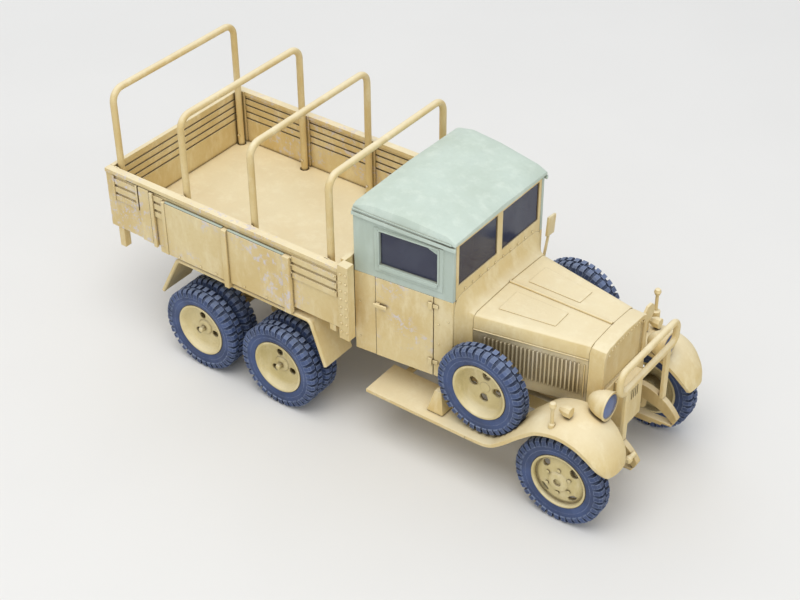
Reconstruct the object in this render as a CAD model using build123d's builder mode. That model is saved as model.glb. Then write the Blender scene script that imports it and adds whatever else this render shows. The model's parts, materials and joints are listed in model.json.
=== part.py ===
"""Six-wheeled army cargo truck, a static scale model at 1:72, all sizes in millimetres.

+X is forward, +Y is the truck's left, +Z is up. The origin lies on the ground under the
middle of the truck's length and width.
"""

from build123d import *

import os
from math import cos, radians, sin

os.makedirs("parts", exist_ok=True)

# Running gear
front_axle_x = 29.2
wheelbase = 38.0
bogie_spacing = 12.5
tyre_radius = 5.65
tyre_width = 2.1
tread_width = 1.5
shoulder_drop = 0.6
tyre_flats = 20
rim_radius = 3.55
rim_wall = 0.35
rim_seat = 0.84
front_tyre_y = 10.05
outer_dual_y = 12.9
dual_pitch = 2.75
running_gap = 0.05
hub_radius = 1.15
hub_bore = 0.65
hub_flats = 16
hub_cap_wall = 0.35
cap_hollow = 0.42
housing_radius = 0.85
kingpin_y = 7.4
seat_gap = 0.02
end_gap = 0.15
disc_wall = 0.4
tube_flats = 8

stub_radius = hub_bore - running_gap
middle_axle_x = front_axle_x - wheelbase
rear_axle_x = middle_axle_x - bogie_spacing
axle_z = tyre_radius
bogie_x = (middle_axle_x + rear_axle_x) / 2

# Chassis frame
rail_y = 4.5
rail_wall = 0.8
member_length = 1.2
rail_top = 10.4
rail_height = 1.9
rail_rear_x = -35.5
rail_front_x = 30.2
horn_tip_x = 35.6
horn_tip_z = 7.3
horn_tip_height = 0.9
beam_top = 5.3
beam_height = 0.9
leaf_thickness = 0.3
leaf_pitch = 0.28
diff_radius = 2.1
diff_flats = 12
diff_half = 1.9
lamp_flats = 12

# Load bed
bed_rear_x = -36.3
bed_front_x = 0.4
bed_half_width = 12.7
bed_top = 23.4
floor_top = 15.8
floor_wall = 0.8
side_wall = 0.7
board_setback = 0.15
tail_wall = 0.6
cap_width = 1.0
cap_height = 0.55
side_bottom = 15.1
header_wall = 0.5
header_top = 24.2
header_skin = 0.2
end_post_length = 1.4
end_post_width = 1.2
end_post_proud = 0.4
end_post_bottom = 13.9
bearer_height = 1.6
bearer_length = 0.9
sill_width = 0.9
hoop_y = 10.9
socket_depth = 0.5
hoop_top = 33.6
hoop_radius = 0.46
hoop_corner = 1.6
hoop_stations = (-35.15, -24.2, -13.5, -2.1)

# Cab
cab_rear_x = 0.75
cab_front_x = 13.5
cab_rear_half = 10.35
cab_front_half = 9.05
cab_bottom = 11.1
belt_z = 22.2
panel_wall = 0.5
door_rear_x = 3.5
door_front_x = 11.1
door_gap = 0.08
door_proud = 0.08
window_bottom = 24.2
window_top = 28.7
window_rear_x = 4.2
window_front_x = 11.6
window_border = 0.65
border_proud = 0.15
glass_wall = 0.2
glass_inset = 0.15
windshield_bottom = 24.0
windshield_wall = 0.55
pane_inner_y = 0.5
pane_outer_y = 8.0
roof_overhang = 0.15
hem_height = 0.45
hem_proud = 0.3

windshield_top = window_top + 0.5
wall_top = window_top + 1.1

# Nose
hood_rear_x = 15.1
hood_front_x = 28.5
hood_rear_half = 7.4
hood_front_half = 4.65
hood_side_top = 18.65
hood_top_z = 20.35
hood_crown = 0.25
hood_corner = 0.75
hood_wall = 0.45
hood_lip = 0.3
hood_bottom = 12.0
louvre_count = 24
louvre_end = 1.45
louvre_bottom = 13.55
louvre_top = 17.75
louvre_width = 0.24
louvre_rise = 0.2
radiator_depth = 1.9
radiator_half = 4.7
radiator_bottom = 10.6
radiator_corner = 1.05
shell_wall = 0.55
apron_depth = 1.5
apron_half = 1.95
apron_bottom = 8.4
apron_top = 14.5
vent_count = 5

radiator_front_x = hood_front_x + radiator_depth
apron_front_x = radiator_front_x + apron_depth

# Fenders and running boards
fender_outer_y = 12.1
board_inner_y = 6.5
board_rear_x = 3.4
board_top = 7.2
board_wall = 0.45
board_front_x = 17.6

# Spare wheels
spare_x = 18.4
spare_tyre_y = 10.05
spare_z = 13.1
spare_well_gap = 0.2
bracket_bottom = 12.1

# Rear mudguards
guard_outer_y = 12.6
guard_inner_y = 7.6
guard_top = 13.9
guard_wall = 0.45
guard_foot_z = 8.0
guard_reach = 0.9

# Front guard, lamps and fender fittings
bar_radius = 0.42
bar_reach = 1.4
bar_half = 6.2
bar_top = 19.6
bar_bottom = 16.6
guard_corner = 1.1
lamp_radius = 1.7
lamp_x = 31.9
lamp_y = 6.5
lamp_z = 15.15
lamp_length = 2.1
lamp_rim = 0.6
lamp_clearance = 0.05
lens_wall = 0.25
pole_x = 28.1
pole_y = 11.2
pole_height = 4.6
pole_radius = 0.16
pole_foot = 13.55
side_lamp_x = 29.1
side_lamp_y = 9.75
side_lamp_z = 15.0
side_lamp_radius = 0.62
mirror_x = 28.5
mirror_y = 8.6
mirror_z = 16.9
mirror_radius = 1.1
mirror_foot = 14.3
wedge_x = 12.5
wedge_y = 10.0
wedge_height = 2.8

bar_x = apron_front_x + bar_reach


def save(piece, name):
    piece.part.label = name
    export_step(piece.part, f"parts/{name}.step")


def block(x0, x1, y0, y1, z0, z1, mode=Mode.ADD):
    """A plain block between two corners."""
    with Locations(((x0 + x1) / 2, (y0 + y1) / 2, (z0 + z1) / 2)):
        Box(abs(x1 - x0), abs(y1 - y0), abs(z1 - z0), mode=mode)


def cab_half(x):
    """Half width of the cab's outer side at a station: the cab narrows to the front."""
    share = (x - cab_rear_x) / (cab_front_x - cab_rear_x)
    return cab_rear_half + share * (cab_front_half - cab_rear_half)


def hood_half(x):
    share = (x - hood_rear_x) / (hood_front_x - hood_rear_x)
    return hood_rear_half + share * (hood_front_half - hood_rear_half)


def side_panel(half_at, x0, x1, wall, z0, z1, side, proud=0.0):
    """An upright wall that follows a tapered side, with its outer face proud of it."""
    with BuildSketch(Plane.XY.offset(z0)) as plan:
        with BuildLine():
            Polyline(
                (x0, side * (half_at(x0) + proud)),
                (x1, side * (half_at(x1) + proud)),
                (x1, side * (half_at(x1) - wall)),
                (x0, side * (half_at(x0) - wall)),
                close=True,
            )
        make_face()
    extrude(plan.sketch, amount=z1 - z0)


def cross_wall(half_at, x0, x1, wall, z0, z1, mode=Mode.ADD):
    """A wall or floor across the truck that fits between two tapered sides."""
    with BuildSketch(Plane.XY.offset(z0)) as plan:
        with BuildLine():
            Polyline(
                (x0, half_at(x0) - wall),
                (x1, half_at(x1) - wall),
                (x1, wall - half_at(x1)),
                (x0, wall - half_at(x0)),
                close=True,
            )
        make_face()
    extrude(plan.sketch, amount=z1 - z0, mode=mode)


sides = (("left", 1), ("right", -1))


# Wheels and tyres


def ngon(plane, radius, flats, across_corners=False):
    """A regular polygon by its flats, with a flat face down."""
    with BuildSketch(plane) as section:
        RegularPolygon(radius, flats, major_radius=across_corners, rotation=180 / flats)
    return section.sketch


def turned(plane, rings, flats, mode=Mode.ADD):
    """A round body in flats about a plane's normal, from rings of distance and radius."""
    loft([ngon(plane.offset(d), r, flats) for d, r in rings], ruled=True, mode=mode)


def prism(plane, d0, d1, radius, flats, mode=Mode.ADD, across_corners=False):
    """A straight round bar or bore in flats, from one distance to the other."""
    section = ngon(plane.offset(d0), radius, flats, across_corners)
    extrude(section, amount=d1 - d0, mode=mode)


def wheel_plane(x, y, z, side):
    """A plane across the axle at a wheel, its normal pointing outward."""
    return Plane(origin=(x, side * y, z), x_dir=(1, 0, 0), z_dir=(0, side, 0))


def tyre_at(plane):
    """One tyre: a flat tread between two sloping shoulders, open to the rim."""
    half, tread = tyre_width / 2, tread_width / 2
    shoulder = tyre_radius - shoulder_drop
    rings = [(-half, shoulder), (-tread, tyre_radius), (tread, tyre_radius), (half, shoulder)]
    turned(plane, rings, tyre_flats)
    prism(plane, -half, half, rim_radius + seat_gap, tyre_flats, Mode.SUBTRACT)


def wheel_holes(plane, radius, size, flats, count, reach):
    """Openings through a wheel's disc, evenly round the hub."""
    with BuildSketch(plane) as holes:
        with PolarLocations(radius, count, 180 / count):
            RegularPolygon(size, flats, rotation=180 / flats)
    extrude(holes.sketch, amount=reach, both=True, mode=Mode.SUBTRACT)


rim_in = rim_radius - rim_wall
bulge = 0.75
bulge_root = 0.35
bulge_radius = 1.9
window_radius = 2.55


def front_wheel(plane):
    """A steel wheel whose disc bulges outward, with four windows and a hollow hub cap."""
    half = tyre_width / 2
    cap = bulge + 0.35
    hollow = cap - 0.3
    with BuildPart() as wheel:
        prism(plane, -rim_seat, rim_seat, rim_radius, tyre_flats)
        prism(plane, bulge_root, rim_seat, rim_in, tyre_flats, Mode.SUBTRACT)
        turned(plane, [(bulge_root, rim_in), (bulge, bulge_radius)], tyre_flats)
        back = bulge_root - disc_wall
        turned(
            plane,
            [(-rim_seat, rim_in), (back, rim_in), (bulge - disc_wall, bulge_radius)],
            tyre_flats,
            Mode.SUBTRACT,
        )
        turned(plane, [(-half, hub_radius), (bulge, hub_radius), (cap, hub_radius - 0.3)], hub_flats)
        prism(plane, -half, hollow - hub_cap_wall, hub_bore, hub_flats, Mode.SUBTRACT)
        prism(plane, hollow, cap, cap_hollow, tube_flats, Mode.SUBTRACT)
        with BuildSketch(plane) as windows:
            with PolarLocations(window_radius, 4, 45):
                Trapezoid(1.3, 0.7, 70, rotation=-90)
        extrude(windows.sketch, amount=1.5, both=True, mode=Mode.SUBTRACT)
    return wheel


dish_radius = 2.2
dual_hub_radius = 1.3


def dual_wheel(plane):
    """Two deeply dished wheels back to back on one closed hub; the plane lies between them."""
    half_pitch = dual_pitch / 2
    reach = half_pitch + rim_seat
    lip = half_pitch + 0.3
    cap = half_pitch - 0.1
    tail = half_pitch + tyre_width / 2
    with BuildPart() as wheel:
        prism(plane, -reach, reach, rim_radius, tyre_flats)
        dish = [(disc_wall, dish_radius), (lip, rim_in - 0.1), (reach, rim_in)]
        turned(plane, dish, tyre_flats, Mode.SUBTRACT)
        prism(plane, -reach, -disc_wall, rim_in - 0.1, tyre_flats, Mode.SUBTRACT)
        prism(plane, -tail, 0, hub_radius, hub_flats)
        turned(plane, [(0, dual_hub_radius), (disc_wall, dual_hub_radius), (cap, 0.8)], hub_flats)
        prism(plane, -tail, cap - hub_cap_wall, hub_bore, hub_flats, Mode.SUBTRACT)
        wheel_holes(plane, 1.95, 0.45, 8, 4, 1.0)
    return wheel


dual_y = outer_dual_y - dual_pitch / 2

for side_name, side in sides:
    front = wheel_plane(front_axle_x, front_tyre_y, axle_z, side)
    with BuildPart() as front_tyre:
        tyre_at(front)
    save(front_tyre, f"front_{side_name}_tyre")
    save(front_wheel(front), f"front_{side_name}_wheel")
    for axle_name, axle_x in (("middle", middle_axle_x), ("rear", rear_axle_x)):
        pair = wheel_plane(axle_x, dual_y, axle_z, side)
        with BuildPart() as dual_tyres:
            tyre_at(pair.offset(dual_pitch / 2))
            tyre_at(pair.offset(-dual_pitch / 2))
        save(dual_tyres, f"{axle_name}_{side_name}_tyres")
        save(dual_wheel(pair), f"{axle_name}_{side_name}_wheels")


# Chassis frame

rail_bottom = rail_top - rail_height
rail_inner = rail_y - rail_wall / 2
rail_outer = rail_y + rail_wall / 2
horn_drop = rail_top - horn_tip_z
horn_reach = horn_tip_x - rail_front_x
horn_radius = (horn_reach**2 + horn_drop**2) / (2 * horn_drop)


def rail_top_at(x):
    """Height of a frame rail's top, which curves down to the horn in front."""
    ahead = max(0.0, x - rail_front_x)
    return rail_top - horn_radius + (horn_radius**2 - ahead**2) ** 0.5


with BuildPart() as frame_rails:
    for side_name, side in sides:
        with BuildSketch(Plane.XZ.offset(rail_wall / 2 - side * rail_y)):
            with BuildLine():
                top = Line((rail_rear_x, rail_top), (rail_front_x, rail_top))
                nose = RadiusArc(top @ 1, (horn_tip_x, horn_tip_z), horn_radius)
                tip = Line(nose @ 1, (horn_tip_x - 0.4, horn_tip_z - horn_tip_height))
                under = RadiusArc(tip @ 1, (rail_front_x - 0.8, rail_bottom), -horn_radius - 1.5)
                Polyline(under @ 1, (rail_rear_x, rail_bottom), top @ 0)
            make_face()
        extrude(amount=-rail_wall)
save(frame_rails, "frame_rails")

member_stations = (-34.6, -27.6, bogie_x, 2.0, 12.5)
trunnion_z = 7.3
trunnion_radius = 0.6
bogie_spring_y = 6.2
bogie_spring_width = 1.1
outrigger_stations = (5.2, 11.4)
outrigger_length = 0.8

with BuildPart() as cross_members:
    for x in member_stations:
        block(
            x - member_length / 2, x + member_length / 2, -rail_inner, rail_inner,
            rail_bottom + 0.4, rail_top - 0.3,
        )
    trunnion_end = bogie_spring_y + bogie_spring_width / 2
    trunnion = wheel_plane(bogie_x, 0, trunnion_z, 1)
    prism(trunnion, -trunnion_end, trunnion_end, trunnion_radius, hub_flats)
    for side_name, side in sides:
        block(
            bogie_x - 0.5, bogie_x + 0.5, side * rail_inner, side * rail_outer,
            trunnion_z, rail_bottom,
        )
        for x in outrigger_stations:
            x0, x1 = x - outrigger_length / 2, x + outrigger_length / 2
            y_root = side * (rail_outer + 0.4)
            block(x0, x1, side * rail_outer, y_root, board_top - board_wall - 0.35, rail_top - 0.4)
            block(
                x0, x1, y_root, side * (board_inner_y + 2.4),
                board_top - board_wall - 0.35, board_top - board_wall,
            )
save(cross_members, "cross_members")


# Axles, springs and drive line


def spring_pack(x, y, z, length, rise, width, pitch):
    """Three leaves, each shorter than the last; the ends stand a rise above the middle."""
    for leaf in range(3):
        half = length / 2 * (1 - 0.22 * leaf)
        lift = rise * (half / (length / 2)) ** 2
        base = z + pitch * leaf
        with BuildSketch(Plane.XZ.offset(width / 2 - y)) as section:
            with BuildLine():
                low = ThreePointArc((x - half, base + lift), (x, base), (x + half, base + lift))
                high = ThreePointArc(
                    (x - half, base + lift + leaf_thickness),
                    (x, base + leaf_thickness),
                    (x + half, base + lift + leaf_thickness),
                )
                Line(low @ 0, high @ 0)
                Line(low @ 1, high @ 1)
            make_face()
        extrude(section.sketch, amount=-width)


front_leaf_z = beam_top + 2 * leaf_pitch
bogie_leaf_z = trunnion_z + trunnion_radius
bogie_leaf_drop = bogie_leaf_z - axle_z - housing_radius

with BuildPart() as leaf_springs:
    for side_name, side in sides:
        spring_pack(
            front_axle_x, side * rail_y, front_leaf_z, 2 * (horn_tip_x - 0.6 - front_axle_x),
            0.2, 1.0, -leaf_pitch,
        )
        spring_pack(
            bogie_x, side * bogie_spring_y, bogie_leaf_z + 0.02, bogie_spacing + 0.8,
            -bogie_leaf_drop, bogie_spring_width, leaf_pitch,
        )
save(leaf_springs, "leaf_springs")

front_stub = front_tyre_y + bulge + 0.05 - hub_cap_wall - end_gap - kingpin_y
with BuildPart() as front_axle:
    beam_end = kingpin_y - 0.5
    with BuildSketch(Plane.YZ.offset(front_axle_x - 0.5)):
        with BuildLine():
            Polyline(
                (-kingpin_y, axle_z - 0.5), (-kingpin_y, axle_z + 0.5), (-beam_end, beam_top),
                (beam_end, beam_top), (kingpin_y, axle_z + 0.5), (kingpin_y, axle_z - 0.5),
                (beam_end - 0.6, beam_top - beam_height), (0.6 - beam_end, beam_top - beam_height),
                close=True,
            )
        make_face()
    extrude(amount=1.0)
    for side_name, side in sides:
        kingpin = Plane(origin=(front_axle_x, side * kingpin_y, axle_z))
        prism(kingpin, -1.2, 1.2, 0.75, hub_flats)
        stub = wheel_plane(front_axle_x, kingpin_y, axle_z, side)
        prism(stub, 0, front_stub, stub_radius, hub_flats, across_corners=True)
save(front_axle, "front_axle")

housing_end = outer_dual_y - dual_pitch - tyre_width / 2 - end_gap
stub_end = outer_dual_y - 0.1 - hub_cap_wall - end_gap
with BuildPart() as rear_axles:
    axles = [wheel_plane(x, 0, axle_z, 1) for x in (middle_axle_x, rear_axle_x)]
    for middle in axles:
        prism(middle, -diff_half, diff_half, diff_radius, diff_flats)
    chamfer(rear_axles.faces().filter_by(Axis.Y).edges(), 0.8, 1.0)
    for middle in axles:
        prism(middle, -housing_end, housing_end, housing_radius, hub_flats)
        prism(middle, -stub_end, stub_end, stub_radius, hub_flats, across_corners=True)
save(rear_axles, "rear_axles")

gearbox_rear_x = 5.0
gearbox_front_x = 11.0
shaft_radius = 0.4
shaft_z = axle_z + 0.6
engine_rear_x = hood_rear_x + 0.3
with BuildPart() as drive_shafts:
    for x0, x1 in (
        (middle_axle_x + diff_radius + seat_gap, gearbox_rear_x - seat_gap),
        (rear_axle_x + diff_radius + seat_gap, middle_axle_x - diff_radius - seat_gap),
    ):
        shaft = Plane(origin=(x0, 0, shaft_z), x_dir=(0, 1, 0), z_dir=(1, 0, 0))
        prism(shaft, 0, x1 - x0, shaft_radius, tube_flats)
save(drive_shafts, "drive_shafts")

with BuildPart() as power_unit:
    block(gearbox_rear_x, gearbox_front_x, -1.9, 1.9, 5.6, rail_bottom + 0.3)
    block(gearbox_front_x, engine_rear_x, -1.2, 1.2, 6.6, rail_bottom + 0.3)
    block(engine_rear_x, hood_front_x - 1.2, -2.6, 2.6, 7.0, 17.2)
save(power_unit, "power_unit")


# Load bed

bed_wall_y = bed_half_width - board_setback
side_in = bed_wall_y - side_wall
cap_in = bed_half_width - cap_width
cap_bottom = bed_top - cap_height
floor_bottom = floor_top - floor_wall
tail_in = bed_rear_x + tail_wall
header_in = bed_front_x - header_wall
bearer_bottom = floor_bottom - bearer_height
guard_top_face = guard_top + guard_wall / 2
groove_depth = 0.25
groove_height = 0.25
groove_pitch = 1.0
slat_height = 0.75
slat_pitch = 1.15
slat_proud = 0.2

with BuildPart() as bed_floor:
    block(tail_in, header_in, -side_in, side_in, floor_bottom, floor_top)
    with BuildSketch(Plane.XY.offset(floor_top)):
        with Locations(*[(x, side * hoop_y) for x in hoop_stations for _, side in sides]):
            RegularPolygon(hoop_radius + 0.1, tube_flats, major_radius=False, rotation=22.5)
    extrude(amount=-socket_depth, mode=Mode.SUBTRACT)
save(bed_floor, "bed_floor")

bearer_stations = (-34.8, -27.6, -17.6, -9.2, -0.9)
with BuildPart() as bed_bearers:
    for x in bearer_stations:
        with BuildSketch(Plane.YZ.offset(x - bearer_length / 2)):
            with BuildLine():
                Polyline(
                    (-bed_wall_y, floor_bottom), (-bed_wall_y, guard_top_face),
                    (-guard_inner_y, guard_top_face), (0.5 - guard_inner_y, bearer_bottom),
                    (guard_inner_y - 0.5, bearer_bottom), (guard_inner_y, guard_top_face),
                    (bed_wall_y, guard_top_face), (bed_wall_y, floor_bottom), close=True,
                )
            make_face()
        extrude(amount=bearer_length)
    for side_name, side in sides:
        block(
            bearer_stations[0] - 0.45, bearer_stations[0] + 0.45, side * (bed_wall_y - 1.0),
            side * bed_wall_y, 12.2, guard_top_face,
        )
save(bed_bearers, "bed_bearers")

with BuildPart() as bed_sills:
    for side_name, side in sides:
        block(
            rail_rear_x, bed_front_x, side * (rail_y - sill_width / 2),
            side * (rail_y + sill_width / 2), rail_top, bearer_bottom,
        )
save(bed_sills, "bed_sills")

# Panels on the outside of a bed side: x from, x to, z from, z to, thickness
side_panels = (
    (-30.6, -28.9, side_bottom, 22.8, 0.3),
    (-26.4, -16.9, 14.6, 22.1, 0.4),
    (-16.3, -7.4, 14.6, 22.1, 0.4),
)
# Bays of three short slats on the outside: x from, x to
slat_bays = ((-34.9, -31.0), (-28.4, -26.7), (-6.6, 0.0))

for side_name, side in sides:
    with BuildPart() as bed_side:
        block(
            bed_rear_x, bed_front_x, side * side_in, side * bed_wall_y, floor_bottom, cap_bottom
        )
        block(
            bed_rear_x, bed_front_x, side * cap_in, side * bed_half_width, cap_bottom, bed_top
        )
        for x0, x1, z0, z1, wall in side_panels:
            block(x0, x1, side * bed_wall_y, side * (bed_wall_y + wall), z0, z1)
        for x0, x1 in slat_bays:
            for row in range(3):
                z1 = cap_bottom - 0.45 - row * slat_pitch
                block(
                    x0, x1, side * bed_wall_y, side * (bed_wall_y + slat_proud),
                    z1 - slat_height, z1,
                )
        for row in range(4):
            z1 = cap_bottom - 0.35 - row * groove_pitch
            block(
                tail_in + 0.5, header_in - 0.5, side * (side_in - 0.1),
                side * (side_in + groove_depth), z1 - groove_height, z1, mode=Mode.SUBTRACT,
            )
    save(bed_side, f"bed_side_{side_name}")

with BuildPart() as header_board:
    block(header_in, bed_front_x, -side_in, side_in, floor_bottom, cap_bottom)
    block(header_in, bed_front_x, -cap_in, cap_in, cap_bottom, header_top)
    post_out = bed_wall_y + end_post_proud
    block(
        bed_front_x, bed_front_x + header_skin, -post_out, post_out, end_post_bottom, header_top
    )
    for side_name, side in sides:
        block(
            bed_front_x, bed_front_x + end_post_length, side * (post_out - end_post_width),
            side * post_out, end_post_bottom, header_top,
        )
save(header_board, "header_board")

with BuildPart() as tailgate:
    block(bed_rear_x, tail_in, -side_in, side_in, side_bottom, cap_bottom)
    block(bed_rear_x, tail_in, -cap_in, cap_in, cap_bottom, bed_top)
    for row in range(4):
        z1 = cap_bottom - 0.35 - row * groove_pitch
        block(
            tail_in - groove_depth, tail_in + 0.1, 0.6 - side_in, side_in - 0.6,
            z1 - groove_height, z1, mode=Mode.SUBTRACT,
        )
save(tailgate, "tailgate")

def eased(corner, before, after, radius):
    """Three points that ease a square corner: the ends and the middle of its bend."""
    corner = Vector(*corner)
    start = (Vector(*before) - corner).normalized() * radius
    end = (Vector(*after) - corner).normalized() * radius
    middle = (start + end) * (1 - cos(radians(45)))
    return [corner + start, corner + middle, corner + end]


hoop_foot = floor_top - socket_depth
with BuildPart() as bed_hoops:
    for x in hoop_stations:
        foot = [(x, side * hoop_y, hoop_foot) for side in (-1, 1)]
        head = [(x, side * hoop_y, hoop_top) for side in (-1, 1)]
        bends = eased(head[0], foot[0], head[1], hoop_corner)
        bends += eased(head[1], head[0], foot[1], hoop_corner)
        with BuildLine() as hoop_line:
            Polyline(foot[0], *bends, foot[1])
        tube = ngon(Plane(origin=foot[0]), hoop_radius, tube_flats)
        sweep(tube, path=hoop_line.line, transition=Transition.RIGHT)
save(bed_hoops, "bed_hoops")


# Rear mudguards

for side_name, side in sides:
    with BuildPart() as mudguard:
        y0 = min(side * guard_outer_y, side * guard_inner_y)
        with BuildSketch(Plane.XZ.offset(-y0)):
            with BuildLine():
                FilletPolyline(
                    (rear_axle_x - tyre_radius - guard_reach - 0.6, guard_foot_z),
                    (rear_axle_x - tyre_radius + 1.6, guard_top),
                    (middle_axle_x + tyre_radius - 1.2, guard_top),
                    (middle_axle_x + tyre_radius + guard_reach, guard_foot_z),
                    radius=0.5,
                )
            trace(line_width=guard_wall)
        extrude(amount=-(guard_outer_y - guard_inner_y))
    save(mudguard, f"mudguard_{side_name}")


# Cab

for side_name, side in sides:
    with BuildPart() as door:
        side_panel(
            cab_half, door_rear_x + door_gap, door_front_x - door_gap, panel_wall,
            cab_bottom, belt_z, side, proud=door_proud,
        )
    save(door, f"door_{side_name}")

with BuildPart() as cab_body:
    for side_name, side in sides:
        side_panel(cab_half, cab_rear_x, door_rear_x, panel_wall, cab_bottom, belt_z, side)
        side_panel(cab_half, door_front_x, cab_front_x, panel_wall, cab_bottom, belt_z, side)
    cross_wall(cab_half, cab_rear_x, cab_rear_x + panel_wall, panel_wall, cab_bottom, belt_z)
    cross_wall(
        cab_half, cab_rear_x, cab_front_x, panel_wall, cab_bottom, cab_bottom + panel_wall
    )
save(cab_body, "cab_body")

border_rear_x = window_rear_x - window_border
border_front_x = window_front_x + window_border
with BuildPart() as window_frames:
    for side_name, side in sides:
        side_panel(cab_half, cab_rear_x, cab_front_x, panel_wall, belt_z, wall_top, side)
        side_panel(
            cab_half, border_rear_x, border_front_x, panel_wall, window_bottom - 1.0,
            window_top + 0.3, side, proud=border_proud,
        )
        side_panel(
            cab_half, window_rear_x, window_front_x, 0.1, window_bottom - 0.6,
            window_bottom - 0.15, side, proud=2 * border_proud,
        )
        block(
            window_rear_x, window_front_x, side * (cab_front_half - 1.5),
            side * (cab_rear_half + 0.6), window_bottom, window_top, mode=Mode.SUBTRACT,
        )
save(window_frames, "window_frames")

wall_in = panel_wall + seat_gap
rear_window_half = 3.5
rear_window_bottom = window_bottom + 0.6
with BuildPart() as cab_rear_upper:
    cross_wall(cab_half, cab_rear_x, cab_rear_x + panel_wall, wall_in, belt_z, wall_top)
    block(
        cab_rear_x - 0.1, cab_rear_x + panel_wall + 0.1, -rear_window_half, rear_window_half,
        rear_window_bottom, window_top, mode=Mode.SUBTRACT,
    )
save(cab_rear_upper, "cab_rear_upper")

with BuildPart() as windshield_frame:
    cross_wall(
        cab_half, cab_front_x - windshield_wall, cab_front_x, wall_in, belt_z, wall_top
    )
    for side_name, side in sides:
        block(
            cab_front_x - 2, cab_front_x + 1, side * pane_inner_y, side * pane_outer_y,
            windshield_bottom, windshield_top, mode=Mode.SUBTRACT,
        )
save(windshield_frame, "windshield_frame")

with BuildPart() as cab_glass:
    for side_name, side in sides:
        side_panel(
            lambda x: cab_half(x) - glass_inset, window_rear_x + seat_gap,
            window_front_x - seat_gap, glass_wall, window_bottom + seat_gap,
            window_top - seat_gap, side,
        )
        pane_x = cab_front_x - glass_inset
        block(
            pane_x - glass_wall, pane_x, side * (pane_inner_y + seat_gap),
            side * (pane_outer_y - seat_gap), windshield_bottom + seat_gap,
            windshield_top - seat_gap,
        )
    rear_pane_x = cab_rear_x + glass_inset
    block(
        rear_pane_x, rear_pane_x + glass_wall, seat_gap - rear_window_half,
        rear_window_half - seat_gap, rear_window_bottom + seat_gap, window_top - seat_gap,
    )
save(cab_glass, "cab_glass")


def shouldered(x, half, bottom, top, corner, crown):
    """A section across the truck: upright sides, eased shoulders and a slightly crowned top."""
    bend = corner * (1 - cos(radians(45)))
    flank = [(half, bottom), (half, top - corner), (half - bend, top - bend), (half - corner, top)]
    with BuildSketch(Plane.YZ.offset(x)) as section:
        with BuildLine():
            Polyline(*flank, (0, top + crown), *[(-y, z) for y, z in reversed(flank)], close=True)
        make_face()
    return section.sketch


def roof_section(x, rise, corner):
    half = cab_half(x) + roof_overhang
    return shouldered(x, half, wall_top, wall_top + rise, corner, roof_crown)


roof_crown = 0.25
roof_front_x = cab_front_x + 0.3
hem_rear_rise = 0.3
hem_front_rise = -0.45
# Roof stations: x, rise over the wall's top, corner radius
roof_rows = (
    (cab_rear_x, 1.35, 0.8),
    (cab_rear_x + 2.2, 1.95, 0.95),
    (cab_rear_x + 6.3, 1.85, 0.95),
    (cab_front_x - 1.0, 1.15, 0.8),
    (roof_front_x, 0.4, 0.3),
)
with BuildPart() as cab_roof:
    loft([roof_section(*row) for row in roof_rows], ruled=True)
    for side_name, side in sides:
        ends = []
        for x, rise in ((cab_rear_x, hem_rear_rise), (roof_front_x, hem_front_rise)):
            with BuildSketch(Plane.YZ.offset(x)) as hem:
                y = side * (cab_half(x) + (hem_proud + seat_gap) / 2)
                with Locations((y, wall_top + rise)):
                    Rectangle(hem_proud - seat_gap, hem_height)
            ends.append(hem.sketch)
        loft(ends)
save(cab_roof, "cab_roof")

seat_half = cab_front_half - panel_wall - 0.95
seat_back_x = cab_rear_x + panel_wall + glass_wall + 0.3
cab_floor = cab_bottom + panel_wall
with BuildPart() as seat:
    block(seat_back_x, 7.2, -seat_half, seat_half, cab_floor, 15.2)
    block(seat_back_x, 2.9, -seat_half, seat_half, 15.2, 20.6)
save(seat, "seat")

with BuildPart() as dashboard:
    cross_wall(cab_half, cab_front_x - 0.9, cab_front_x, wall_in, 18.6, belt_z)
save(dashboard, "dashboard")

column_tilt = 28
column_radius = 0.25
hub_x, hub_y, hub_z = 8.6, 4.4, 19.4
column_length = (hub_z - cab_floor - column_radius) / cos(radians(column_tilt))
with BuildPart() as steering_wheel:
    tilted = Plane(Location((hub_x, hub_y, hub_z), (0, -column_tilt, 0)))
    with BuildSketch(tilted) as wheel_ring:
        RegularPolygon(1.85, hub_flats)
        RegularPolygon(1.5, hub_flats, mode=Mode.SUBTRACT)
        Rectangle(3.3, 0.3)
        Rectangle(0.3, 3.3)
    extrude(wheel_ring.sketch, amount=0.15, both=True)
    prism(tilted, -column_length, 0, column_radius, tube_flats)
save(steering_wheel, "steering_wheel")


# Cowl, hood and radiator


def hood_section(x, half, bottom, top=hood_top_z, corner=hood_corner):
    return shouldered(x, half, bottom, top, corner, hood_crown)


hood_seam = hood_side_top - hood_lip
cowl_length = hood_rear_x - cab_front_x
cowl_flare = cab_front_half - 0.2 - hood_rear_half
cowl_rise = 2.3
# Cowl stations: share of its length, share of the flare left, corner radius
cowl_rows = ((0, 1, 1.4), (0.3, 0.5, 1.15), (0.62, 0.16, 0.95), (1, 0, hood_corner))

with BuildPart() as cowl:
    cowl_sections = []
    for share, left, corner in cowl_rows:
        x = cab_front_x + share * cowl_length
        half = hood_rear_half + left * cowl_flare
        top = hood_top_z + left * cowl_rise
        cowl_sections.append(hood_section(x, half, cab_bottom, top, corner))
    loft(cowl_sections, ruled=True)
save(cowl, "cowl")

with BuildPart() as hood_top:
    rear = hood_section(hood_rear_x, hood_rear_half, hood_seam)
    front = hood_section(hood_front_x, hood_front_half, hood_seam)
    loft([rear, front], ruled=True)
save(hood_top, "hood_top")

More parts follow.
